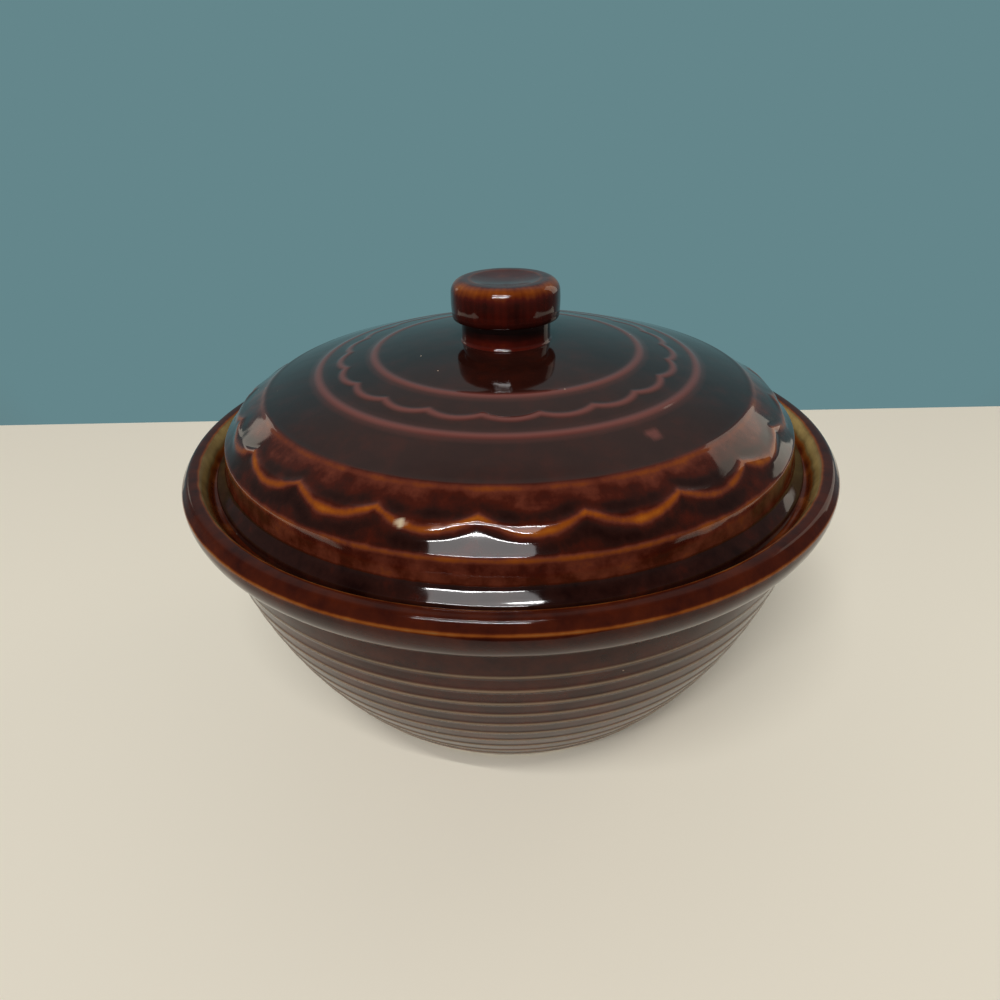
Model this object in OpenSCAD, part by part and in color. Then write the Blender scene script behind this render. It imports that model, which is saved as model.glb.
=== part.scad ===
// Covered casserole dish in glazed stoneware: a bowl, a loose lid and the lid's knob.
// Millimetres. The bowl stands on z = 0 with its axis on Z, and the front is -Y.

/* [Bowl] */
// Radius of the rim's widest edge
rim_r = 117.5; // [113:0.5:121]
// Height of the rim's crest above the table
bowl_h = 98.4; // [94:0.2:103]
// Radius of the wall where it meets the table
foot_r = 71.2; // [66:0.2:76]
// Radius of the wall's curve, seen in section
wall_arc = 167; // [150:1:185]
// Thickness of the wall
wall = 7.5; // [6:0.5:9]
// Thickness of the floor over the foot's recess
floor_t = 7; // [5.5:0.5:9]
// Radius of the inside corner between floor and wall
corner = 24; // [16:1:30]
// Width of the foot ring
foot_w = 10; // [7:0.5:13]
// Height of the recess inside the foot ring
foot_recess = 2.5; // [1.5:0.5:4]

/* [Rim and gallery] */
// Distance from the collar's lower edge up to the crest
collar_h = 16.9; // [14:0.1:19]
// Distance the collar's lower edge stands in from the rim's edge
collar_in = 8.7; // [7:0.1:10]
// Radius of the rolled flank between the collar's lower edge and the rim
flank_r = 14; // [12:0.5:24]
// Height of the rim's upright edge
edge_h = 2; // [1:0.1:3]
// Width of the rim, from its edge in to the gallery
rim_w = 6.3; // [5.4:0.1:7.2]
// Distance from the rim's edge in to the crest
lip_in = 2.6; // [2:0.1:3.4]
// Drop from the crest to the rim's edge
lip_drop = 3.2; // [2.6:0.1:3.8]
// Radius of the rounding on the rim's edge and crest
lip_round = 1; // [0.6:0.1:1.4]
// Depth of the gallery that holds the lid, below the crest
gallery_d = 6.9; // [6:0.1:8]
// How much wider the gallery is at the crest than at its ledge
gallery_flare = 3.2; // [2.4:0.2:4]
// Width of the ledge that the lid sits on
ledge_w = 5.6; // [4.5:0.1:6.5]

/* [Ribs on the bowl] */
// Drop from the collar's edge to the highest full rib
rib_drop = 17; // [14:0.5:23]
// Height from one rib to the next
rib_pitch = 6.7; // [6:0.1:8]
// Height of the bare wall below the lowest rib, at least
rib_bare = 8; // [4:0.5:38]
// How far a rib stands out of the wall
rib_out = 0.6; // [0.4:0.1:0.9]
// How far the single faint rib above the full ones stands out
faint_out = 0.25; // [0.1:0.05:0.4]

/* [Lid] */
// Height of the dome above the lid's seat, before the flat for the knob
lid_h = 42.1; // [38:0.1:46]
// Radius of the dome's curve
dome_arc = 270; // [240:5:320]
// Width of the sloping band between dome and skirt, seen from above
band_w = 16.8; // [13:0.2:21]
// Slope of the band above the scallops, in degrees
band_slope = 32; // [28:1:36]
// Slope of the band below the scallops, in degrees
hem_slope = 45; // [40:1:50]
// How far the skirt's foot stands out past its upper edge
skirt_lean = 1.2; // [0.6:0.1:2]
// How far the brim stands out of the skirt's foot
brim_w = 3.7; // [2:0.1:6.4]
// Thickness of the lid
lid_t = 6; // [5:0.5:7]
// Height of the brim's upright edge above the seat
brim_edge = 3.4; // [2.6:0.1:4.2]
// Height that the brim's slope rises from its edge to the skirt
brim_rise = 3.4; // [2.6:0.1:4.2]
// Radius of the rounding on the brim's edge
brim_round = 1; // [0.6:0.1:1.4]
// Gap between the brim and the gallery's wall
lid_gap = 1.7; // [1:0.1:2]

/* [Relief on the lid] */
// Number of scallops in each scalloped line
scallops = 21; // [16:1:24]
// Distance from the shoulder in to the outer plain ring
ring_in = 18.8; // [15:0.2:21]
// Distance from the outer plain ring in to the inner one
ring_gap = 19.8; // [17:0.2:22]
// Distance from the outer plain ring in to the upper scallops
upper_gap = 7.6; // [6:0.2:9]
// Depth of the upper scallops, from their widest to their points
upper_d = 2.2; // [1.4:0.1:3.4]
// Distance from the skirt in to the lower scallops
lower_gap = 5.6; // [4.6:0.1:6.6]
// Depth of the lower scallops, from their widest to their points
lower_d = 3; // [2:0.1:3.6]
// Width of the relief's lines
line_w = 2; // [1.6:0.1:2.4]
// How far the relief stands out of the lid
line_out = 0.5; // [0.4:0.1:1]
// Radius of the beads on the shoulder and on the edge of the skirt
bead_r = 1.5; // [1.2:0.1:1.8]

/* [Knob] */
// Radius of the knob's neck
neck_r = 15.7; // [14.6:0.1:16.6]
// Radius of the hollow rounding where the neck meets the lid
neck_round = 1.4; // [1:0.1:2]
// Height of the edge around the neck's foot
foot_edge = 0.3; // [0.2:0.1:0.6]
// How far the flat seat on the lid runs past the knob's foot
seat_past = 0.4; // [0.2:0.1:1.2]
// Greatest radius of the knob's cap
cap_r = 19.1; // [18:0.1:20.2]
// Height of the knob above its seat
knob_h = 21; // [19.6:0.2:23]
// Thickness of the cap
cap_t = 12.8; // [11.5:0.1:13.8]
// Height of the cap's widest line above its underside
cap_mid = 5.7; // [4.5:0.1:7]
// Radius of the bulge of the cap's side, seen in section
cap_side = 45; // [30:1:80]
// Radius of the cap's rounded upper edge
cap_round = 4.4; // [3:0.2:5]
// Radius of the cap's rounded lower edge
cap_under = 1; // [0.6:0.1:1.6]
// Radius of the dished hollow in the cap's top
dish_r = 12.4; // [10:0.2:13]
// Depth of the dished hollow
dish_d = 1.2; // [0.8:0.1:2]

/* [Hidden] */
$fn = 120;

// How far a cut runs past the solid, and how far a rounding runs into its neighbours
past = 1;
lap = 0.02;

glaze_brown = [0.23, 0.10, 0.06];
glaze_rust = [0.36, 0.15, 0.08];
glaze_red = [0.30, 0.09, 0.06];

// Centre of the circle of radius r through p and q, on the left of the way from p to q
function arc_centre(p, q, r) =
    let (half = norm(q - p) / 2, along = (q - p) / (2 * half))
    (p + q) / 2 + [-along[1], along[0]] * sqrt(r * r - half * half);

// Radius at which a circle about c passes the height z, on its outer side
function reach(c, r, z) = c[0] + sqrt(r * r - (z - c[1]) * (z - c[1]));

// Centre of a rounding of radius r in the corner p, between the ways to a and to b
function corner_c(p, a, b, r) =
    let (u = unit(a - p), v = unit(b - p)) p + unit(u + v) * r / sin(acos(u * v) / 2);

// Point where that rounding leaves the way from p to a
function corner_end(p, a, b, r) =
    let (u = unit(a - p), v = unit(b - p)) p + u * r / tan(acos(u * v) / 2);

function unit(v) = v / norm(v);

// Bowl outside: the wall's curve, the rolled flank above the collar and the bevelled rim
collar = [rim_r - collar_in, bowl_h - collar_h];
wall_c = arc_centre([foot_r, 0], collar, wall_arc);
rim_edge = [rim_r, bowl_h - lip_drop];
flank_top = rim_edge - [0, edge_h];
flank_c = arc_centre(collar, flank_top, flank_r);
crest = [rim_r - lip_in, bowl_h];
rib_r = 1.2;
rib_top = collar[1] - rib_drop;
ribs = floor((rib_top - rib_bare) / rib_pitch) + 1;

// Bowl inside: gallery, ledge, wall and floor
ledge_z = bowl_h - gallery_d;
gallery_r = rim_r - rim_w - gallery_flare;
ledge_r = gallery_r - ledge_w;
inner_arc = wall_arc - wall;
floor_z = foot_recess + floor_t;
bend_c = [reach(wall_c, inner_arc - corner, floor_z + corner), floor_z + corner];
bend_end = wall_c + (bend_c - wall_c) * inner_arc / (inner_arc - corner);
foot_in = foot_r - foot_w;

// Lid: it sits on the ledge, with its brim inside the gallery
seat_z = ledge_z;
brim_r = gallery_r - lid_gap;
brim_tip = [brim_r, seat_z + brim_edge];
skirt_r = brim_r - brim_w;
skirt_foot = [skirt_r, brim_tip[1] + brim_rise];
inner_skirt_r = skirt_r - lid_t;
shoulder_r = skirt_r - band_w;
dome_z = seat_z + lid_h;
dome_c = [0, dome_z - dome_arc];
shoulder_z = dome_at(shoulder_r);

// Height of the dome at radius r
function dome_at(r) = dome_c[1] + sqrt(dome_arc * dome_arc - r * r);

// Height at radius r of a slope through p, moved out of the lid by off
function slope_at(r, p, slope, off = 0) = p[1] + off / cos(slope) - (r - p[0]) * tan(slope);

// Relief: two plain rings, and scallops whose arcs meet in points
ring_c = shoulder_r - ring_in;
ring_a = ring_c - ring_gap;
upper_out = ring_c - upper_gap;
upper_in = upper_out - upper_d;
lower_out = skirt_r - lower_gap;
lower_in = lower_out - lower_d;
shoulder = [shoulder_r, shoulder_z];
hem_r = (lower_out + lower_in) / 2;
hem = [hem_r, slope_at(hem_r, shoulder, band_slope)];
hem_z = slope_at(skirt_r - skirt_lean, hem, hem_slope);
skirt_top = [skirt_r - skirt_lean, hem_z];
skirt_bead_in = 0.9;
half_step = 180 / scallops;
first_point = -95;
upper_turn = -2.5;

// Distance from the axis to the centre of a scallop's arc
function scallop_c(out, point) =
    (out * out - point * point) / (2 * (out - point * cos(half_step)));

// Knob: it stands on a flat cut into the top of the dome
knob_foot_r = neck_r + neck_round;
knob_seat_r = knob_foot_r + seat_past;
knob_z = dome_at(knob_seat_r);
knob_top = knob_z + knob_h;
cap_z = knob_top - cap_t;
dish_arc = (dish_r * dish_r + dish_d * dish_d) / (2 * dish_d);

assert(foot_in > 40, "the foot ring needs room inside it");
assert(inner_skirt_r < ledge_r, "the lid's seat covers the ledge's inner edge");
assert(brim_r > skirt_r + 1, "the brim stands out past the skirt");
assert(rib_top - (ribs - 1) * rib_pitch > rib_r, "the lowest rib stays above the table");

// Corner p of a section, rounded between the neighbours a and b
module rounding(p, a, b, r) {
    translate(corner_c(p, a, b, r)) circle(r + lap);
}

module bowl_outside() {
    intersection() {
        translate(wall_c) circle(wall_arc);
        square([rim_r, collar[1] + lap]);
    }
    intersection() {
        translate(flank_c) circle(flank_r);
        translate([0, collar[1]]) square([rim_r, flank_top[1] + lap - collar[1]]);
    }
    middle = [0, bowl_h];
    polygon([
        [0, flank_top[1]],
        flank_top,
        corner_end(rim_edge, flank_top, crest, lip_round),
        corner_end(rim_edge, crest, flank_top, lip_round),
        corner_end(crest, rim_edge, middle, lip_round),
        corner_end(crest, middle, rim_edge, lip_round),
        middle,
    ]);
    rounding(rim_edge, flank_top, crest, lip_round);
    rounding(crest, rim_edge, middle, lip_round);
    rib(collar[1], rib_out);
    rib(rib_top + rib_pitch, faint_out);
    for (i = [0 : ribs - 1]) {
        rib(rib_top - i * rib_pitch, rib_out);
    }
}

module rib(z, out) {
    translate([reach(wall_c, wall_arc + out - rib_r, z), z]) circle(rib_r);
}

module bowl_inside() {
    intersection() {
        translate(wall_c) circle(inner_arc);
        translate([0, bend_end[1]]) square([ledge_r, ledge_z + past - bend_end[1]]);
    }
    translate(bend_c) circle(corner + lap);
    translate([0, floor_z]) square([bend_c[0], corner]);
}

module gallery() {
    top_r = gallery_r + gallery_flare * (1 + past / gallery_d);
    polygon([[0, ledge_z], [gallery_r, ledge_z], [top_r, bowl_h + past], [0, bowl_h + past]]);
}

module foot_hollow() {
    polygon([
        [0, -past], [foot_in + past, -past],
        [foot_in - foot_recess, foot_recess], [0, foot_recess],
    ]);
}

module bowl() {
    color(glaze_brown) rotate_extrude() difference() {
        bowl_outside();
        bowl_inside();
        gallery();
        foot_hollow();
    }
}

// Section under a slope through p, down to the height base and out to side_r
module under_slope(p, slope, off, side_r, base) {
    polygon([
        [0, base], [side_r, base],
        [side_r, slope_at(side_r, p, slope, off)], [0, slope_at(0, p, slope, off)],
    ]);
}

// Dome, band and skirt as a filled section down to the height base, moved out by off
module lid_form(off, side_r, base) {
    intersection() {
        translate(dome_c) circle(dome_arc + off);
        under_slope(shoulder, band_slope, off, side_r, base);
        under_slope(hem, hem_slope, off, side_r, base);
    }
}

module brim() {
    foot = [brim_r, seat_z];
    polygon([
        [inner_skirt_r, seat_z],
        foot,
        corner_end(brim_tip, foot, skirt_foot, brim_round),
        corner_end(brim_tip, skirt_foot, foot, brim_round),
        skirt_foot,
        [inner_skirt_r, skirt_foot[1]],
    ]);
    rounding(brim_tip, foot, skirt_foot, brim_round);
}

// Space inside the leaning skirt, up past the hem
module inside_skirt() {
    high = skirt_foot + (skirt_top - skirt_foot) * 4;
    polygon([[0, seat_z], [skirt_r, seat_z], skirt_foot, high, [0, high[1]]]);
}

module lid_section() {
    difference() {
        union() {
            intersection() {
                lid_form(0, skirt_r, seat_z);
                inside_skirt();
            }
            brim();
            for (r = [ring_a, ring_c]) {
                translate([r, dome_at(r) + line_out - line_w / 2]) circle(line_w / 2);
            }
            translate([shoulder_r, shoulder_z - line_w / 2]) circle(bead_r);
            translate(skirt_top - bead_r * skirt_bead_in * unit([2, 1])) circle(bead_r);
        }
        lid_form(-lid_t, inner_skirt_r, seat_z - past);
        translate([0, knob_z]) square([knob_seat_r + past, dome_z]);
    }
}

// Scalloped outline, grown by off
module scallop_outline(out, point, off) {
    c = scallop_c(out, point);
    circle(point - 2 * line_w);
    for (i = [0 : scallops - 1]) {
        rotate(first_point + half_step + i * 2 * half_step) translate([c, 0]) circle(out - c + off);
    }
}

// Raised scalloped line that follows the lid's surface
module scallop_line(out, point) {
    intersection() {
        translate([0, 0, hem_z]) linear_extrude(dome_z) difference() {
            scallop_outline(out, point, line_w / 2);
            scallop_outline(out, point, -line_w / 2);
        }
        rotate_extrude() difference() {
            lid_form(line_out, skirt_r, seat_z);
            lid_form(-lid_t / 3, skirt_r + past, seat_z - past);
        }
    }
}

module lid() {
    color(glaze_rust) union() {
        rotate_extrude() lid_section();
        scallop_line(lower_out, lower_in);
        rotate(upper_turn) scallop_line(upper_out, upper_in);
    }
}

// Section of the knob's cap, with a slightly bulging side and rounded edges
module cap_section() {
    side = [cap_r - cap_side, cap_z + cap_mid];
    low = cap_z + cap_under;
    high = knob_top - cap_round;
    low_r = reach(side, cap_side, low) - cap_under;
    high_r = reach(side, cap_side, high) - cap_round;
    intersection() {
        translate(side) circle(cap_side);
        translate([0, low]) square([cap_r + past, high - low]);
    }
    translate([low_r, low]) circle(cap_under + lap);
    translate([0, cap_z]) square([low_r, cap_under + lap]);
    translate([high_r, high]) circle(cap_round + lap);
    translate([0, high - lap]) square([high_r, cap_round + lap]);
}

// Section of the neck, with a hollow rounding at its foot
module neck_section() {
    round_z = knob_z + foot_edge + neck_round;
    translate([0, knob_z]) square([neck_r, cap_z + cap_under - knob_z]);
    difference() {
        translate([0, knob_z]) square([knob_foot_r, round_z - knob_z]);
        translate([knob_foot_r, round_z]) circle(neck_round);
    }
}

module knob() {
    color(glaze_red) rotate_extrude() difference() {
        union() {
            neck_section();
            cap_section();
        }
        translate([0, knob_top - dish_d + dish_arc]) circle(dish_arc);
    }
}

bowl();
lid();
knob();
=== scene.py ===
# %% [markdown]
# # A glazed stoneware casserole
# The dish has three pieces of fired clay: a ribbed bowl, a domed lid that drops into a ledge inside the
# bowl's rim, and a knob that was stuck to the lid before firing. All three carry the same dark brown
# glaze. Its colour depends on its thickness: nearly black where it pooled, amber where it ran thin.
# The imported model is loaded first, as the fixed frame that every piece here has to sit in. The outer sizes
# come from that frame, and the finer ones are written in millimetres where they are first needed.

# %% Load the frame
import math

import bpy
import numpy as np
from mathutils import Matrix, Vector


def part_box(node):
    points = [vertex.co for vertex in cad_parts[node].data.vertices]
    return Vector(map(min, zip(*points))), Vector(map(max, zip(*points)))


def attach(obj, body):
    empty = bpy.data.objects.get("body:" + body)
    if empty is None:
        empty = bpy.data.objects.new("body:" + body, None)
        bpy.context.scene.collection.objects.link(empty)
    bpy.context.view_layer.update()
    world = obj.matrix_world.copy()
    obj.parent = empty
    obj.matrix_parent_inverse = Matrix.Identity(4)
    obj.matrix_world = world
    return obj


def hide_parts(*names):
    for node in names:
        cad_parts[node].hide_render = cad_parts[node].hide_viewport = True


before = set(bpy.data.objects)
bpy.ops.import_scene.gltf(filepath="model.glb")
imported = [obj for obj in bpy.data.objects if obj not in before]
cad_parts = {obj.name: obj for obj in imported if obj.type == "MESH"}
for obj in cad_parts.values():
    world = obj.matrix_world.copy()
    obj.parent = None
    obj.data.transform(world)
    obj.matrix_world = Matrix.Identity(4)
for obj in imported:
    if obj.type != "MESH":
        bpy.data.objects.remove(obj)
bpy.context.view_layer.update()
MM = 0.001


def corner_mm(node, end):
    """Lowest (end 0) or highest (end 1) corner of a node's box, in millimetres."""
    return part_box(node)[end] / MM


rim_r, bowl_h = corner_mm("bowl", 1).x, corner_mm("bowl", 1).z
brim_r, seat_z = corner_mm("lid", 1).x, corner_mm("lid", 0).z
cap_r, knob_z, knob_top = corner_mm("knob", 1).x, corner_mm("knob", 0).z, corner_mm("knob", 1).z
print(f"rim radius {rim_r:.1f}, bowl height {bowl_h:.1f}, lid seat at {seat_z:.1f}, top at {knob_top:.1f} mm")

# %% [markdown]
# ## The camera
# The photograph was taken from close by with a wide lens, so the near rim looks much larger than the far
# one. The distance, height and lens below were measured from the round edges of the dish: each edge is a
# circle, and only one camera draws all those ellipses as they are seen. The camera is built from its
# direction of view and a small roll, because that is easier to read than three Euler angles.

# %% Place the camera
camera_distance = 254.35
camera_height = 211.64
focal_px = 726.8
frame_px = 1000
pitch, yaw, roll = math.radians(29.78), math.radians(-0.83), math.radians(1.43)

forward = Vector((math.sin(yaw) * math.cos(pitch), math.cos(yaw) * math.cos(pitch), -math.sin(pitch)))
level_right = Vector((math.cos(yaw), -math.sin(yaw), 0))
level_down = forward.cross(level_right)
right = level_right * math.cos(roll) + level_down * math.sin(roll)
down = level_down * math.cos(roll) - level_right * math.sin(roll)

camera_data = bpy.data.cameras.new("camera")
camera_data.sensor_fit = "HORIZONTAL"
camera_data.lens = camera_data.sensor_width * focal_px / frame_px
camera_data.clip_start = 0.01
camera = bpy.data.objects.new("camera", camera_data)
bpy.context.scene.collection.objects.link(camera)
turn = Matrix((right, -down, -forward)).transposed()
camera.matrix_world = turn.to_4x4()
camera.location = Vector((0, -camera_distance, camera_height)) * MM
bpy.context.scene.camera = camera
print(f"camera lens {camera_data.lens:.1f} mm at {tuple(round(c, 3) for c in camera.location)}")

# %% [markdown]
# ## Two helpers for colours and shaders
# Colours are written as sRGB hex values, as a colour picker shows them, but Blender's sockets take linear
# light, so one function turns them over. Shader nodes are added by one more function, which sets a node's
# properties and inputs and links it in one line, so that a material reads from top to bottom.

# %% Colours, and one function that adds a shader node
def linear(hex_colour):
    """sRGB hex to the linear RGBA that Blender's sockets take."""
    channels = [int(hex_colour[i:i + 2], 16) / 255 for i in (1, 3, 5)]
    return tuple(c / 12.92 if c < 0.04045 else ((c + 0.055) / 1.055) ** 2.4 for c in channels) + (1.0,)


def add(tree, kind, inputs=None, stops=(), **settings):
    """Adds a node, sets its properties, links or sets its inputs, and fills a colour ramp's stops."""
    node = tree.nodes.new(kind)
    for key, value in settings.items():
        setattr(node, key, value)
    for key, value in (inputs or {}).items():
        if isinstance(value, bpy.types.NodeSocket):
            tree.links.new(value, node.inputs[key])
        else:
            node.inputs[key].default_value = value
    for index, (position, colour) in enumerate(stops):
        elements = node.color_ramp.elements
        element = elements[index] if index < len(elements) else elements.new(position)
        element.position = position
        element.color = linear(colour)
    return node


bpy.context.scene.view_settings.view_transform = "Standard"
print(f"mid grey #808080 is {linear('#808080')[0]:.3f} in linear light")

# %% [markdown]
# ## The table
# A glossy glaze shows the room as much as its own colour, so the room is built with care. The dish stands
# on a white painted table, which lights the flared wall from below. The table is a plain plane, no larger
# than the photograph needs, because the knob mirrors whatever lies around it.

# %% Build the table
table_front, table_back, table_half = -0.22, 0.24, 0.5
bpy.ops.object.select_all(action="DESELECT")
bpy.ops.mesh.primitive_plane_add(size=1)
bpy.ops.transform.resize(value=(2 * table_half, table_back - table_front, 1))
bpy.ops.transform.translate(value=(0, (table_back + table_front) / 2, 0))
bpy.ops.object.transform_apply(location=True, rotation=False, scale=True)
table = bpy.context.object
table.name = "table"
paint = bpy.data.materials.new("white_painted_table")
paint.use_nodes = True
paint_shader = paint.node_tree.nodes["Principled BSDF"]
paint_shader.inputs["Base Color"].default_value = linear("#faf3e0")
paint_shader.inputs["Roughness"].default_value = 0.5
table.data.materials.append(paint)
print(f"table {table.dimensions.x:.2f} by {table.dimensions.y:.2f} m")

# %% [markdown]
# ## The room
# The world is the room: blue-grey at the back, dim at the sides and the front, paler on the ceiling towards
# the back, and darkest at the front below the table. Three colour ramps run from front to back, one each
# for walls, ceiling and floor, and the height of the view direction mixes them, so no edge shows in the
# glaze. A room of real walls would need more lamps to look as soft.

# %% Build the room as a world
back_wall, side_wall, front_wall, dark_floor = "#64868b", "#5c5957", "#5c5553", "#2e2826"

world = bpy.data.worlds.new("room")
world.use_nodes = True
bpy.context.scene.world = world
room = world.node_tree
direction = add(room, "ShaderNodeTexCoord").outputs["Generated"]
axes = add(room, "ShaderNodeSeparateXYZ", {"Vector": direction}).outputs
to_back = add(room, "ShaderNodeMapRange", {"Value": axes["Y"], "From Min": -1}).outputs["Result"]
walls = add(room, "ShaderNodeValToRGB", {"Fac": to_back},
            [(0.0, front_wall), (0.45, front_wall), (0.75, side_wall), (0.89, back_wall), (1.0, back_wall)])
ceiling = add(room, "ShaderNodeValToRGB", {"Fac": to_back},
              [(0.0, "#2a2524"), (0.4, "#3b3433"), (0.65, "#756b69"), (0.75, "#aaa09b"), (1.0, "#9d9794")])
floor = add(room, "ShaderNodeValToRGB", {"Fac": to_back},
            [(0.0, dark_floor), (0.55, dark_floor), (0.75, side_wall), (0.89, back_wall), (1.0, back_wall)])
rising = add(room, "ShaderNodeMapRange", {"Value": axes["Z"], "From Min": 0.4, "From Max": 0.75})
sinking = add(room, "ShaderNodeMapRange", {"Value": axes["Z"], "From Min": -0.1, "From Max": -0.35})
upper_room = add(room, "ShaderNodeMix", {"Factor": rising.outputs["Result"], "A": walls.outputs["Color"],
                                         "B": ceiling.outputs["Color"]}, data_type="RGBA")
whole_room = add(room, "ShaderNodeMix", {"Factor": sinking.outputs["Result"],
                                         "A": upper_room.outputs["Result"],
                                         "B": floor.outputs["Color"]}, data_type="RGBA")
room.links.new(whole_room.outputs["Result"], room.nodes["Background"].inputs["Color"])
print(f"room of {len(room.nodes)} world nodes")

# %% [markdown]
# ## The lamps
# A ceiling fitting in front of the dish has a dim panel between two bright tubes, which gives the
# reflections on the band and the brim their white edges. Two windows stand at the back, a small one on the
# left and a tall one on the right. Glowing planes would mirror as well, but area lamps leave less noise.
# Each lamp is set by its radiance, because that is what a mirror image of it shows, and its power follows
# from its area.

# %% Hang the lamps
def hang_lamp(name, azimuth, elevation, distance, width, height, radiance, tint="#ffffff"):
    """A rectangular lamp that faces the dish, placed by its angle from the front and its elevation."""
    data = bpy.data.lights.new(name, "AREA")
    data.shape = "RECTANGLE"
    data.size, data.size_y = width, height
    data.energy = radiance * math.pi * width * height
    data.color = linear(tint)[:3]
    lamp = bpy.data.objects.new(name, data)
    bpy.context.scene.collection.objects.link(lamp)
    around, up_angle = math.radians(azimuth), math.radians(elevation)
    level = math.cos(up_angle)
    away = Vector((math.sin(around) * level, -math.cos(around) * level, math.sin(up_angle)))
    lamp.location = away * distance
    lamp.rotation_euler = away.to_track_quat("Z", "Y").to_euler()
    print(f"{name}: {data.energy:.0f} W")


fitting = {"azimuth": -14, "distance": 4.0, "width": 2.15}
hang_lamp("ceiling_panel", elevation=52, height=1.5, radiance=3.4, **fitting)
hang_lamp("near_tube", elevation=43, height=0.04, radiance=210, **fitting)
hang_lamp("far_tube", elevation=62.5, height=0.03, radiance=190, **fitting)

daylight = {"distance": 3.0, "radiance": 0.9, "tint": "#fff4e2"}
hang_lamp("left_window", azimuth=-133, elevation=19, width=0.45, height=0.5, **daylight)
hang_lamp("right_window", azimuth=125, elevation=21, width=1.15, height=2.2, **daylight)

# %% [markdown]
# ## Drawing a section
# Each piece was formed on a wheel, so each starts as half of its section, which is then spun about the axis.
# The section could be a Bezier curve drawn by eye. Here it is written with the few points and arcs that a
# potter's template would need, so that every size has a name. A point is a radius and a height.

# %% Points and arcs of a section
def point(r, z):
    return Vector((r, z))


def arc_centre(p, q, radius):
    """Centre of the circle through p and q, on the left of the way from p to q."""
    half = (q - p).length / 2
    along = (q - p).normalized()
    return (p + q) / 2 + Vector((-along.y, along.x)) * math.sqrt(radius ** 2 - half ** 2)


def reach(centre, radius, z):
    """Radius at which a circle passes the height z, on its outer side."""
    return centre.x + math.sqrt(radius ** 2 - (z - centre.y) ** 2)


def arc(centre, p, q, steps=40):
    """Points from p to q about the centre, the short way round."""
    start = math.atan2(p.y - centre.y, p.x - centre.x)
    sweep = math.atan2(q.y - centre.y, q.x - centre.x) - start
    sweep = (sweep + math.pi) % (2 * math.pi) - math.pi
    radii = np.linspace((p - centre).length, (q - centre).length, steps + 1)
    angles = start + sweep * np.linspace(0, 1, steps + 1)
    return [centre + Vector((math.cos(a), math.sin(a))) * r for a, r in zip(angles, radii)]


# %% [markdown]
# ## A coat that rounds corners
# Melted glaze leaves no sharp corner. `coat` walks along a section in fine steps and averages each stretch
# with its neighbours, weighted by a bell curve, which rounds every corner alike. A Bevel modifier could
# round the mesh instead, edge by edge, but here one pass along the section does it all. Afterwards only the
# points that the shape needs are kept, about as far apart as `gap` says.

# %% Round a section
def coat(points, rounding, gap):
    """Rounds a section's corners over a length, then keeps points no closer than gap(r, z)."""
    fine, spread = 0.1, 3
    rz = np.array([tuple(p) for p in points])
    lengths = np.concatenate([[0], np.cumsum(np.hypot(*np.diff(rz, axis=0).T))])
    stations = np.linspace(0, lengths[-1], int(lengths[-1] / fine))
    line = np.stack([np.interp(stations, lengths, rz[:, i]) for i in (0, 1)], axis=1)
    count = int(spread * rounding / fine)
    weights = np.exp(-0.5 * (np.arange(-count, count + 1) * fine / rounding) ** 2)
    before = 2 * line[0] - line[count:0:-1]
    after = 2 * line[-1] - line[-2:-count - 2:-1]
    padded = np.concatenate([before, line, after])
    smooth = np.stack([np.convolve(padded[:, i], weights / weights.sum(), "valid") for i in (0, 1)], axis=1)
    kept, travelled = [smooth[0]], 0.0
    for previous, here in zip(smooth, smooth[1:]):
        travelled += math.hypot(*(here - previous))
        if travelled >= gap(*here):
            kept.append(here)
            travelled = 0.0
    kept[-1] = smooth[-1]
    return kept


# %% [markdown]
# ## Turning a piece
# `turn_piece` does what the wheel did: it extrudes a section's points one by one from a single vertex and
# spins the line about the axis. A Screw modifier could spin it too, but the spin operator leaves plain
# vertices, which can be weighted and moved afterwards.

# %% Spin a section into a piece
def turn_piece(name, section, steps):
    """Extrudes a section from one vertex and spins it about Z into a closed piece."""
    bpy.ops.object.select_all(action="DESELECT")
    bpy.ops.mesh.primitive_plane_add(size=MM)
    piece = bpy.context.object
    piece.name = piece.data.name = name
    bpy.ops.object.mode_set(mode="EDIT")
    bpy.ops.mesh.select_all(action="SELECT")
    bpy.ops.mesh.merge(type="CENTER")
    places = [Vector((r, 0, z)) * MM for r, z in section]
    bpy.ops.transform.translate(value=places[0])
    for here, there in zip(places, places[1:]):
        bpy.ops.mesh.extrude_region_move(TRANSFORM_OT_translate={"value": there - here})
    bpy.ops.mesh.select_all(action="SELECT")
    bpy.ops.mesh.spin(steps=steps, angle=2 * math.pi, center=(0, 0, 0), axis=(0, 0, 1))
    bpy.ops.mesh.select_all(action="SELECT")
    bpy.ops.mesh.remove_doubles(threshold=0.01 * MM)
    bpy.ops.mesh.normals_make_consistent(inside=False)
    bpy.ops.object.mode_set(mode="OBJECT")
    bpy.ops.object.shade_smooth()
    triangles = sum(len(face.vertices) - 2 for face in piece.data.polygons)
    print(f"{name}: {len(section)} section points, {triangles} triangles")
    return piece


# %% [markdown]
# ## The bowl's outside
# A flared bowl with a rolled rim. Its wall is one long arc from the foot to the collar, and thin ribs run
# round it, left by the ribbed mould. Above the collar a rolled flank swells out to the rim. The ribs could
# be modelled as rings of their own, but here they are bumps added to the arc as a function of height, so
# they grow out of the wall as clay does, thin and even.

# %% Outside of the bowl
collar_h, collar_in, flank_r, edge_h = 16.9, 8.7, 14, 2
lip_in, lip_drop = 2.4, 3.4
foot_r, wall_arc = 71.2, 167
rib_drop, rib_pitch, rib_bare = 17, 6.7, 8
rib_out, rib_half, faint_out = 0.4, 1.3, 0.2
wall_samples = 800

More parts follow.
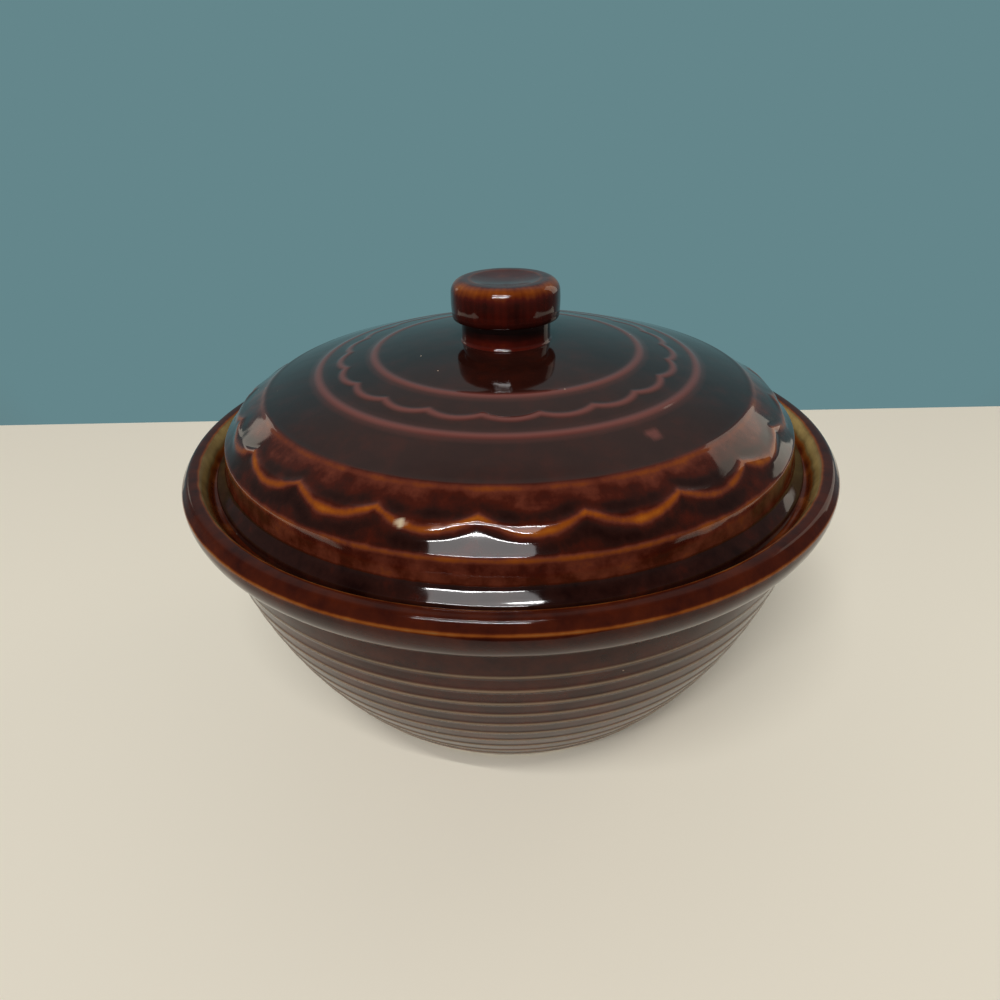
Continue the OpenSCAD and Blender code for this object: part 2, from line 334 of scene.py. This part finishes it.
collar = point(rim_r - collar_in, bowl_h - collar_h)
wall_c = arc_centre(point(foot_r, 0), collar, wall_arc)
rim_edge = point(rim_r, bowl_h - lip_drop)
flank_top = rim_edge - point(0, edge_h)
flank_c = arc_centre(collar, flank_top, flank_r)
crest = point(rim_r - lip_in, bowl_h)
rib_top = collar.y - rib_drop
rib_heights = np.arange(rib_top, rib_bare, -rib_pitch)
all_ribs = np.concatenate([[collar.y, rib_top + rib_pitch], rib_heights])


def bump(offset, half):
    """A smooth hump of height 1 that ends at a distance of half on both sides."""
    return np.cos(np.clip(np.abs(offset) / half, 0, 1) * math.pi / 2) ** 2


def ribbed_wall(z):
    """A point of the wall at the height z, with its full ribs, the faint one and the collar's bead."""
    out = rib_out * bump(rib_heights - z, rib_half).sum()
    out += faint_out * bump(rib_top + rib_pitch - z, rib_half)
    out += rib_out * bump(collar.y - z, rib_half)
    return point(reach(wall_c, wall_arc + out, z), z)


def beaded_flank(p):
    """A point of the rolled flank, moved out where the collar's bead runs into it."""
    return p + (p - flank_c).normalized() * rib_out * bump((p - collar).length, rib_half)


outside = [ribbed_wall(z) for z in np.linspace(0, collar.y, wall_samples)]
outside += [beaded_flank(p) for p in arc(flank_c, collar, flank_top)]
outside += [rim_edge, (rim_edge + crest) / 2]
print(f"{len(rib_heights)} full ribs, {rib_pitch} mm apart, on a wall of radius {wall_arc} mm")

# %% [markdown]
# ## The bowl's inside and foot
# Inside the rim, a sloping wall and a ledge take the lid; potters call it the gallery. Below it the inner
# wall follows the outer one and rounds into the floor, so that a spoon reaches every corner. The foot ring
# is left when the middle of the base is trimmed away. The hollow could be cut out of a solid with a Boolean,
# but drawn as part of the section it gets even faces, also in the gallery, which shows. The section takes
# fine steps only where a rib or the rim needs them, which keeps the mesh light.

# %% Inside of the bowl, and the bowl itself
rim_w, gallery_d, gallery_flare = 6.3, 6.9, 3.2
ledge_w, ledge_t = 5.6, 7
wall, floor_t, corner = 7.5, 7, 24
foot_w, foot_recess = 10, 2.5
outside_softness, inside_softness = 0.3, 0.75
rib_gap, gallery_gap, plain_gap, hidden_gap = 0.3, 0.35, 1.2, 2.0
foot_margin, rib_margin, ledge_margin = 3, 0.3, 3
bowl_steps = 216

gallery_top = point(rim_r - rim_w, bowl_h)
gallery_r = gallery_top.x - gallery_flare
ledge_z = bowl_h - gallery_d
ledge_in = gallery_r - ledge_w
under_ledge = ledge_z - ledge_t
inner_arc = wall_arc - wall
floor_z = foot_recess + floor_t
corner_c = point(reach(wall_c, inner_arc - corner, floor_z + corner), floor_z + corner)
corner_end = wall_c + (corner_c - wall_c) * inner_arc / (inner_arc - corner)
inside = [outside[-1], crest, gallery_top, point(gallery_r, ledge_z), point(ledge_in, ledge_z)]
inside += arc(wall_c, point(reach(wall_c, inner_arc, under_ledge), under_ledge), corner_end)
inside += arc(corner_c, corner_end, corner_c - point(0, corner)) + [point(0, floor_z)]

foot_in = foot_r - foot_w
under = [point(0, foot_recess), point(foot_in - foot_recess, foot_recess), point(foot_in, 0), outside[0]]


def outside_gap(r, z):
    """Fine steps over the ribs and the rim, wide ones between them and under the foot."""
    if r < foot_r - foot_margin:
        return hidden_gap
    return rib_gap if z > collar.y or np.abs(all_ribs - z).min() < rib_half + rib_margin else plain_gap


def inside_gap(r, z):
    """Fine steps in the gallery, wide ones on the wall and the floor."""
    return gallery_gap if z > ledge_z - ledge_margin else hidden_gap


bowl_section = coat(under + outside[1:], outside_softness, outside_gap)
bowl_section += coat(inside, inside_softness, inside_gap)[1:]
bowl = turn_piece("stoneware_bowl", bowl_section, bowl_steps)

# %% [markdown]
# ## The lid's upper side
# A shallow dome ends at a shoulder, a conical band falls to a nearly upright skirt, and a brim rests on the
# bowl's ledge. Fine raised lines decorate it: two plain rings and a line of small scallops on the dome, and
# a line of larger scallops on the band. The plain rings go evenly all the way round, so they are bumps in
# the section, like the bowl's ribs. The scallops are raised later.

# %% Upper side of the lid
lid_h, dome_arc = 42.1, 270
band_w, band_slope, hem_slope, hem_hollow = 16.8, 32, 49, 0.4
brim_w, brim_edge, brim_rise, brim_hollow_r, skirt_lean = 3.7, 3.4, 3.6, 19, 1.2
ring_out, ring_half, ring_in, ring_gap = 0.3, 1.9, 18.8, 19.8
shoulder_out, bead_half = 0.15, 1.8
upper_gap, upper_d, lower_gap, lower_d = 7.6, 2.2, 5.6, 3.0
knob_seat_r, dome_samples = 17.5, 900

skirt_r = brim_r - brim_w
skirt_top_r = skirt_r - skirt_lean
shoulder_r = skirt_r - band_w
dome_c = point(0, seat_z + lid_h - dome_arc)
shoulder_z = reach(point(dome_c.y, 0), dome_arc, shoulder_r)
ring_c = shoulder_r - ring_in
ring_a = ring_c - ring_gap
upper_out, lower_out = ring_c - upper_gap, skirt_r - lower_gap
hem_r = lower_out - lower_d / 2


def dome_at(r, off=0.0):
    return dome_c.y + math.sqrt((dome_arc + off) ** 2 - r ** 2)


def band_at(r, off=0.0):
    """The band falls gently to the scallops; below them the hem is steeper and a little hollow."""
    gentle, steep = math.radians(band_slope), math.radians(hem_slope)
    hem_z = shoulder_z - (hem_r - shoulder_r) * math.tan(gentle)
    along = min(max((r - hem_r) / (skirt_top_r - hem_r), 0), 1)
    hollow = 4 * hem_hollow * along * (1 - along)
    return min(shoulder_z + off / math.cos(gentle) - (r - shoulder_r) * math.tan(gentle),
               hem_z + off / math.cos(steep) - (r - hem_r) * math.tan(steep) - hollow)


def lid_top(r):
    """Height of the lid's upper surface with its plain rings and the bead on the shoulder."""
    rings = ring_out * (bump(r - ring_a, ring_half) + bump(r - ring_c, ring_half))
    return min(dome_at(r), band_at(r)) + rings + shoulder_out * bump(r - shoulder_r, bead_half)


brim_top = seat_z + brim_edge + brim_rise
brim_in, brim_tip = point(skirt_r, brim_top), point(brim_r, seat_z + brim_edge)
over = [point(0, knob_z), point(knob_seat_r, knob_z)]
over += [point(r, lid_top(r)) for r in np.linspace(knob_seat_r, skirt_top_r, dome_samples)]
over += arc(arc_centre(brim_in, brim_tip, brim_hollow_r), brim_in, brim_tip)
print(f"rings at radius {ring_a:.1f} and {ring_c:.1f} mm, shoulder at {shoulder_r:.1f} mm")

# %% [markdown]
# ## The lid's underside
# Under the lid the clay follows the upper side at an even thickness, down to the flat seat that rests on
# the ledge. A Solidify modifier could thicken one surface into a shell, but the seat has corners that the
# upper side doesn't have, so the hollow is drawn as well. The spin takes the same number of steps for each
# scallop, so that all scallops come out alike.

# %% Underside of the lid, and the lid itself
lid_t = 6
over_softness, beneath_softness = 0.4, 0.8
relief_gap, dome_gap, hollow_gap, seat_gap = 0.47, 2.0, 3.0, 0.7
line_margin, upper_margin, lower_margin, seat_margin = 2.2, 3.0, 2.5, 3
scallops, steps_per_scallop = 21, 24
shoulder_search, search_step, hollow_samples = 8, 0.05, 200

inner_skirt_r = skirt_r - lid_t
over += [point(brim_r, seat_z), point((brim_r + inner_skirt_r) / 2, seat_z)]
beneath = [over[-1], point(inner_skirt_r, seat_z), point(inner_skirt_r, band_at(inner_skirt_r, -lid_t))]
inner_shoulder = next(r for r in np.arange(shoulder_r - shoulder_search, shoulder_r, search_step)
                      if band_at(r, -lid_t) < dome_at(r, -lid_t))
beneath += [point(r, dome_at(r, -lid_t)) for r in np.linspace(inner_shoulder, 0, hollow_samples)]


def over_gap(r, z):
    """Fine steps where the relief runs, and wide ones over the plain dome."""
    near_line = min(abs(r - ring_a), abs(r - ring_c), abs(r - shoulder_r)) < line_margin
    near_upper = abs(r - upper_out + upper_d / 2) < upper_margin
    near_lower = r > lower_out - lower_d - lower_margin
    return relief_gap if near_line or near_upper or near_lower else dome_gap


def beneath_gap(r, z):
    """Fine steps by the seat, and wide ones in the hollow."""
    return hollow_gap if z > seat_z + seat_margin else seat_gap


lid_section = coat(over, over_softness, over_gap)
lid_section += coat(beneath, beneath_softness, beneath_gap)[1:]
lid = turn_piece("stoneware_lid", lid_section, scallops * steps_per_scallop)

# %% [markdown]
# ## The scallops
# Each scallop is a short arc, and neighbouring arcs meet in points that look inwards. They change around
# the lid, so the spin can't make them. A bump map could fake them, but it would look flat from the side.
# So every vertex is weighted by its distance from the nearest arc, and a Displace modifier raises the
# weighted ones along their normals: the line stands out evenly on the dome and on the steeper band.

# %% Raise the scallops
ridge_out, ridge_half, upper_share = 0.38, 2.0, 0.7
first_point, upper_turn = -95, -2.5
least_weight = 0.001


def coordinates(piece):
    """Vertex positions in millimetres, one row each."""
    flat = np.empty(3 * len(piece.data.vertices))
    piece.data.vertices.foreach_get("co", flat)
    return flat.reshape(-1, 3) / MM


def scallop_distance(xyz, out, depth, turn_deg):
    """Distance in plan from the nearest scallop's arc; neighbouring arcs meet in points."""
    step = 2 * math.pi / scallops
    tip = out - depth
    centre = (out ** 2 - tip ** 2) / (2 * (out - tip * math.cos(step / 2)))
    angle = np.arctan2(xyz[:, 1], xyz[:, 0]) - math.radians(first_point + turn_deg)
    off_middle = (angle % step) - step / 2
    r = np.hypot(xyz[:, 0], xyz[:, 1])
    distance = np.hypot(r * np.cos(off_middle) - centre, r * np.sin(off_middle)) - (out - centre)
    return np.where(r > centre, distance, -out)


lid_xyz = coordinates(lid)
lid_rad = np.hypot(lid_xyz[:, 0], lid_xyz[:, 1])
skin = lid_t / 3
lid_upper = lid_xyz[:, 2] > np.array([min(dome_at(r), band_at(r)) for r in lid_rad]) - skin
scallop_gap = scallop_distance(lid_xyz, lower_out, lower_d, 0)
lower_line = bump(scallop_gap, ridge_half) * lid_upper
upper_line = bump(scallop_distance(lid_xyz, upper_out, upper_d, upper_turn), ridge_half) * lid_upper
relief = lower_line + upper_share * upper_line
on_relief = np.flatnonzero(relief > least_weight)
raised = lid.vertex_groups.new(name="raised")
for index in on_relief:
    raised.add([int(index)], float(relief[index]), "REPLACE")
lift = lid.modifiers.new("lift", "DISPLACE")
lift.vertex_group = raised.name
lift.mid_level = 0
lift.strength = ridge_out * MM
bpy.context.view_layer.objects.active = lid
bpy.ops.object.modifier_apply(modifier=lift.name)
print(f"scallops raised by {ridge_out} mm on {len(on_relief)} vertices")

# %% [markdown]
# ## The knob
# A disc with a rounded upper edge and a shallow dished top stands on a short straight neck. Where the neck
# meets the lid, the slip that held it was smoothed into a tiny hollow curve, and the glaze filled it. The
# foot goes a little way into the lid, because the two were joined before firing and show no crack. A
# bevelled cylinder could pass for the knob from afar, but a turned section also gives the dished top and
# the slight swell of the cap's side.

# %% Knob section
neck_r, neck_round, foot_edge, sunk = 15.7, 0.7, 0.2, 0.5
cap_t, cap_mid, cap_side = 13.1, 5.7, 45
cap_round, cap_under = 4.4, 0.4
dish_r, dish_d = 12.4, 1.2
knob_softness, knob_gap, knob_steps, cap_samples = 0.25, 0.35, 144, 60

cap_z = knob_top - cap_t
side_c = point(cap_r - cap_side, cap_z + cap_mid)
low, high = cap_z + cap_under, knob_top - cap_round
low_c = point(reach(side_c, cap_side, low) - cap_under, low)
high_c = point(reach(side_c, cap_side, high) - cap_round, high)
dish_arc = (dish_r ** 2 + dish_d ** 2) / (2 * dish_d)

knob_foot_r = neck_r + neck_round
round_c = point(knob_foot_r, knob_z + foot_edge + neck_round)
knob_line = [point(0, knob_z - sunk), point(knob_foot_r, knob_z - sunk)]
knob_line += arc(round_c, round_c - point(0, neck_round), round_c - point(neck_round, 0))
knob_line += [point(neck_r, cap_z)]
knob_line += arc(low_c, point(low_c.x, cap_z), point(low_c.x + cap_under, low))
knob_line += [point(reach(side_c, cap_side, z), z) for z in np.linspace(low, high, cap_samples)]
knob_line += arc(high_c, point(high_c.x + cap_round, high), point(high_c.x, knob_top))
knob_line += [point(r, knob_top - dish_d + dish_arc - math.sqrt(dish_arc ** 2 - r ** 2))
              for r in np.linspace(dish_r, 0, cap_samples)]
knob = turn_piece("stoneware_knob", coat(knob_line, knob_softness, lambda r, z: knob_gap), knob_steps)

# %% [markdown]
# ## Where the glaze is thin
# The glaze flows as it melts. It leaves raised lines and edges thin, so the clay shows through in amber,
# and it fills hollows until they look almost black. One attribute stores this thinness on the vertices,
# together with painted shade beside the scallops and painted light on the ribs and the knob's neck: 0 is the
# thickest glaze and 1 the thinnest. Another marks the clay that shows, and on the ribs a painted pale
# reflection, and `uneven` says how much the glaze is mottled and wavy: least on the dome and most on the
# band.
# `rosy` is where it turned milky; only the lid has it, and elsewhere it reads as 0. Painting these by hand
# would do as well, but masks worked out from the sizes stay in place when a size changes. Each piece's
# thinness is a sum of such masks, each with its own share.

# %% Helpers for the masks
def store(piece, name, values):
    attribute = piece.data.attributes.new(name, "FLOAT", "POINT")
    attribute.data.foreach_set("value", np.ascontiguousarray(values, dtype=np.float32))


def ramp_up(values, start, end):
    """0 before start, 1 after end, and a smooth rise between them."""
    t = np.clip((values - start) / (end - start), 0, 1)
    return t * t * (3 - 2 * t)


def layered(base, layers):
    """The base thinness plus the share of each mask."""
    return base + sum(share * mask for share, mask in layers)


# %% [markdown]
# ## The lid's glaze
# On the band the glaze broke to amber along the shoulder, the scallops and the upper edge of the skirt. On
# both sides of the scallops the colour is darker: partly glaze that pooled there, partly painted shade
# beside the raised line. On the dome it stayed thick and turned milky over the fine lines and in one spot.
# The seat was wiped clean before firing, so that lid and bowl don't fuse, and one scallop has lost a chip of
# glaze.

# %% Store the lid's glaze
hem_fade, hem_margin, brim_fade = 1.5, 1, 0.8
band_before, band_after = 1, 3
edge_out, edge_half, glow_out, glow_half = 0.8, 2.0, 4, 5
skirt_drop, skirt_half = 0.5, 1.5
pool_shade_in, pool_shade_in_half, pool_shade_out, pool_shade_out_half = 3.2, 2.2, 2.8, 2.0
dome_line_half, spot_share, spot_edge, spot_core = 2.6, 0.8, -1.2, -0.6
dome_uneven, band_more_uneven = 0.6, 0.9
wipe_start, wipe_full = 0.5, 0.2

lid_z = lid_xyz[:, 2]
lid_angle = np.degrees(np.arctan2(lid_xyz[:, 1], lid_xyz[:, 0]))
skirt_top = point(skirt_top_r, band_at(skirt_top_r))
below_hem = ramp_up(-lid_z, -skirt_top.y, -skirt_top.y + hem_fade) * (lid_rad > skirt_top_r - hem_margin)
on_band = ramp_up(lid_rad, shoulder_r - band_before, shoulder_r + band_after)
on_brim = ramp_up(-lid_z, -brim_top - brim_fade, -brim_top)
shoulder_edge = bump(lid_rad - shoulder_r - edge_out, edge_half)
shoulder_glow = bump(lid_rad - shoulder_r - glow_out, glow_half)
skirt_edge = bump(np.hypot(lid_rad - skirt_top.x, lid_z - skirt_top.y + skirt_drop), skirt_half)
# Painted shade: darker on both sides of the scallops, where pooled glaze also darkens it.
inner_pool_shade = bump(scallop_gap + pool_shade_in, pool_shade_in_half) * lid_upper
outer_pool_shade = bump(scallop_gap - pool_shade_out, pool_shade_out_half) * lid_upper


def lid_spot(angle, r, half_long, half_wide):
    """1 inside a small oval on the upper side of the lid, long way round it, and 0 outside."""
    along = lid_rad * np.radians(lid_angle - angle)
    from_middle = np.hypot(along / half_long, (lid_rad - r) / half_wide)
    return lid_upper * ramp_up(-from_middle, spot_edge, spot_core)


store(lid, "thin_and_shading", layered(0.2, [(0.08, on_band), (0.15, below_hem), (-0.28, on_brim), (0.28, shoulder_edge),
                                 (0.1, shoulder_glow), (0.42, lower_line ** 2), (0.32, skirt_edge),
                                 (-0.12, inner_pool_shade + outer_pool_shade)]))
store(lid, "uneven", dome_uneven + band_more_uneven * on_band)
dome_lines = bump(lid_rad - ring_a, dome_line_half) + bump(lid_rad - ring_c, dome_line_half) + upper_line
milky_spot = spot_share * lid_spot(angle=-56, r=75.2, half_long=2.7, half_wide=2.0)
store(lid, "rosy", np.maximum(np.clip(dome_lines, 0, 1) * lid_upper, milky_spot))
chip = lid_spot(angle=-107.2, r=96.4, half_long=1.3, half_wide=0.8)
wiped_seat = ramp_up(-lid_z, -seat_z - wipe_start, -seat_z - wipe_full)
store(lid, "bare", np.maximum(wiped_seat, chip))
print(f"lid: glaze stored on {len(lid_z)} vertices, {int((chip > 0).sum())} of them in the chip")

# %% [markdown]
# ## The bowl's glaze
# The glaze is thin on the rim's sharp edge and in the gallery, where it was wiped back and fired olive
# gold. On the ribs it is so thin that some of the buff clay shows, and a painted pale reflection on the
# upper side of each rib lightens them further. The foot ring is bare.

# %% Store the bowl's glaze
rib_sheen_lift, rib_sheen_half, rib_clay_and_sheen = 0.3, 0.8, 0.34
rim_below, rim_above, rim_edge_half = 1.5, 0.5, 1.0
gallery_out, gallery_in, gallery_edge_half = 0.3, 0.6, 1.2
ledge_fade, crest_drop = 1.5, 2
foot_bare_h, foot_bare_out = 0.4, 2

bowl_xyz = coordinates(bowl)
bowl_rad = np.hypot(bowl_xyz[:, 0], bowl_xyz[:, 1])
bowl_z = bowl_xyz[:, 2]
outer_face = bowl_rad > np.array([reach(wall_c, wall_arc - wall / 2, z) for z in bowl_z])
# Painted reflection: a pale line just above each rib's crest, where thin glaze also lightens it.
rib_thin_and_sheen = sum(bump(bowl_z - z - rib_sheen_lift, rib_sheen_half) for z in all_ribs) * outer_face


def near(corner_point, half):
    """1 on a corner of the bowl's section, falling to 0 at a distance of half."""
    return bump(np.hypot(bowl_rad - corner_point.x, bowl_z - corner_point.y), half)


on_rim = ramp_up(bowl_z, rim_edge.y - rim_below, rim_edge.y + rim_above)
in_gallery = ramp_up(-bowl_rad, -gallery_top.x - gallery_out, -gallery_top.x + gallery_in)
in_gallery = in_gallery * ramp_up(bowl_z, ledge_z - ledge_fade, ledge_z)
up_gallery = in_gallery * ramp_up(bowl_z, ledge_z, bowl_h - crest_drop)
store(bowl, "thin_and_shading", layered(0.26, [(0.08, rib_thin_and_sheen), (0.02, on_rim), (0.36, near(rim_edge, rim_edge_half)),
                                   (0.15, in_gallery), (0.5, up_gallery),
                                   (0.35, near(gallery_top, gallery_edge_half))]))
store(bowl, "uneven", np.ones(len(bowl_z)))
on_foot = (bowl_z < foot_bare_h) & (bowl_rad > foot_in - foot_recess) & (bowl_rad < foot_r + foot_bare_out)
# Part of the ribs' clay colour is a painted pale reflection; the foot ring is really bare.
store(bowl, "bare", np.maximum(on_foot, rib_clay_and_sheen * rib_thin_and_sheen))
print(f"bowl: glaze stored on {len(bowl_z)} vertices, {int(on_foot.sum())} of them on the bare foot")

# %% [markdown]
# ## The knob's glaze
# On the knob the glaze ran down from the rounded edge of the cap, which is left amber, and it hung in thin
# streaks on the cap's side. The lower neck is lighter, partly thinner glaze and partly painted light below
# the cap's shadow, so the upper neck stays dark as painted shade. The streaks are two sine waves
# round the cap, multiplied so that they don't repeat evenly.

# %% Store the knob's glaze
first_wave, second_wave, wave_shift = 17, 29, 1
streak_inside, streak_outside = 1, 3
corner_share, corner_half, dish_edge_half = 0.7, 4.5, 1.2
lit_neck_start, lit_neck_full, cap_fade = 3, 6, 3
top_start, top_full = 2.5, 1
knob_uneven = 0.9

knob_xyz = coordinates(knob)
knob_rad = np.hypot(knob_xyz[:, 0], knob_xyz[:, 1])
knob_height = knob_xyz[:, 2]
knob_angle = np.arctan2(knob_xyz[:, 1], knob_xyz[:, 0])
corner_off = cap_round * corner_share
cap_corner = bump(np.hypot(knob_rad - high_c.x - corner_off, knob_height - high - corner_off), corner_half)
dish_edge = bump(np.hypot(knob_rad - dish_r, knob_height - knob_top), dish_edge_half)
# Painted light and shade: the neck is lighter below the cap's shadow and stays dark just under the cap.
neck_thin_and_lit = ramp_up(cap_z - knob_height, lit_neck_start, lit_neck_full)
on_cap = ramp_up(knob_height, cap_z, cap_z + cap_fade)
on_top = ramp_up(knob_height, knob_top - top_start, knob_top - top_full)
streaks = np.sin(first_wave * knob_angle) * np.sin(second_wave * knob_angle + wave_shift)
streaks = streaks * ramp_up(knob_rad, dish_r - streak_inside, dish_r + streak_outside) * on_cap
store(knob, "thin_and_shading", layered(0.12, [(0.16, on_cap), (0.27, cap_corner), (0.06, streaks), (0.12, dish_edge),
                                   (0.08, on_top), (0.28, neck_thin_and_lit)]))
store(knob, "uneven", np.full(len(knob_rad), knob_uneven))
store(knob, "bare", np.zeros(len(knob_rad)))
print(f"knob: glaze stored on {len(knob_rad)} vertices")

# %% [markdown]
# ## The glaze
# A brown slip glaze on stoneware, fired glossy: glass with iron in it, about 0.3 mm thick, over a buff
# body. The eye sees a sharp reflection on top (IOR 1.5, low roughness) and under it a colour that runs
# from near black through red-brown to amber. The mottling is a noise some 9 mm wide, the gentle waviness
# of the surface one of 20 mm (12 mm on the small knob), and a few pale pinholes over half a millimetre wide
# are scattered over it. `shine` is held lower on the bowl, so that the bright table doesn't wash out the
# brown of its wall. An image texture would fix each mottle in one place and show at its seams; noise in the
# piece's own coordinates has no seam.

# %% Build the glaze for one piece
mottle_mm, mottle_depth = 9, 0.1
pinhole_gap_mm, pinhole_r_mm = 14, 0.308
wave_height_mm, wave_strength = 0.6, 0.5
glaze_ior, glaze_roughness, clay_roughness = 1.5, 0.07, 0.8
milky_rose, pale_pinhole, buff_clay_and_sheen = linear("#6f3d36"), linear("#b09a86"), linear("#c8b795")


def glaze(slot, stops, shine, wave_mm):
    """A glaze whose colour follows the thinness attribute, painted shade and light included, through the
    given stops.
    """
    material = bpy.data.materials.new(slot)
    material.use_nodes = True
    tree = material.node_tree
    shader = tree.nodes["Principled BSDF"]
    place = add(tree, "ShaderNodeTexCoord").outputs["Object"]
    thin_and_shading, bare, uneven, rosy = [add(tree, "ShaderNodeAttribute", attribute_name=name).outputs["Fac"]
                                for name in ("thin_and_shading", "bare", "uneven", "rosy")]
    mottle = add(tree, "ShaderNodeTexNoise", {"Vector": place, "Scale": 1 / (mottle_mm * MM),
                                              "Detail": 5, "Roughness": 0.6})
    shift = add(tree, "ShaderNodeMapRange", {"Value": mottle.outputs["Fac"], "From Min": 0.3, "From Max": 0.7,
                                             "To Min": -mottle_depth, "To Max": mottle_depth})
    depth = add(tree, "ShaderNodeMath", {0: uneven, 1: shift.outputs["Result"], 2: thin_and_shading},
                operation="MULTIPLY_ADD")
    # The ramp turns the thinness into colour, its painted shade and painted light included.
    colour = add(tree, "ShaderNodeValToRGB", {"Fac": depth.outputs["Value"]}, stops)
    milky = add(tree, "ShaderNodeMix", {"Factor": rosy, "A": colour.outputs["Color"], "B": milky_rose},
                data_type="RGBA")
    pits = add(tree, "ShaderNodeTexVoronoi", {"Vector": place, "Scale": 1 / (pinhole_gap_mm * MM)})
    pit = add(tree, "ShaderNodeMath", {0: pits.outputs["Distance"], 1: pinhole_r_mm / pinhole_gap_mm},
              operation="LESS_THAN")
    pitted = add(tree, "ShaderNodeMix", {"Factor": pit.outputs["Value"], "A": milky.outputs["Result"],
                                         "B": pale_pinhole}, data_type="RGBA")
    clay_and_sheen = add(tree, "ShaderNodeMix", {"Factor": bare, "A": pitted.outputs["Result"], "B": buff_clay_and_sheen},
               data_type="RGBA")
    tree.links.new(clay_and_sheen.outputs["Result"], shader.inputs["Base Color"])
    matt = add(tree, "ShaderNodeMapRange", {"Value": bare, "To Min": glaze_roughness,
                                            "To Max": clay_roughness})
    tree.links.new(matt.outputs["Result"], shader.inputs["Roughness"])
    shader.inputs["IOR"].default_value = glaze_ior
    shader.inputs["Specular IOR Level"].default_value = shine
    wave = add(tree, "ShaderNodeTexNoise", {"Vector": place, "Scale": 1 / (wave_mm * MM), "Detail": 2})
    strength = add(tree, "ShaderNodeMath", {0: uneven, 1: wave_strength}, operation="MULTIPLY")
    waviness = add(tree, "ShaderNodeBump", {"Height": wave.outputs["Fac"], "Distance": wave_height_mm * MM,
                                            "Strength": strength.outputs["Value"]})
    tree.links.new(waviness.outputs["Normal"], shader.inputs["Normal"])
    return material


# %% [markdown]
# ## Dressing the pieces
# The three pieces share the recipe and differ in its colours: the bowl's thin glaze goes to olive gold, the
# lid's and the knob's to amber. Each piece then rides on its body, so that it moves with the joint, and
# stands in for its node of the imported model.

# %% Glaze the pieces and hand them to their bodies
bowl_stops = [(0.0, "#150504"), (0.2, "#30100a"), (0.4, "#4e1d0c"), (0.6, "#86481a"), (0.75, "#80683e"),
              (1.0, "#c4a868")]
lid_stops = [(0.0, "#120302"), (0.2, "#27100b"), (0.36, "#401409"), (0.5, "#602b1c"), (0.7, "#8a440e"),
             (0.95, "#b0661a")]
knob_stops = [(0.0, "#0c0202"), (0.2, "#2c0803"), (0.4, "#4a1006"), (0.65, "#7f3d10"), (0.9, "#a8681c")]
soft_shine, full_shine = 0.18, 0.5
long_wave, short_wave = 20, 12
finishes = [(bowl, "bowl", "bowl", "bowl_glaze", bowl_stops, soft_shine, long_wave),
            (lid, "lid", "lid", "lid_glaze", lid_stops, full_shine, long_wave),
            (knob, "lid", "knob", "knob_glaze", knob_stops, full_shine, short_wave)]
for piece, body, node, slot, stops, shine, wave_mm in finishes:
    piece.data.materials.append(glaze(slot, stops, shine, wave_mm))
    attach(piece, body)
    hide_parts(node)
    print(f"{piece.name} rides on {body} and wears {slot}")
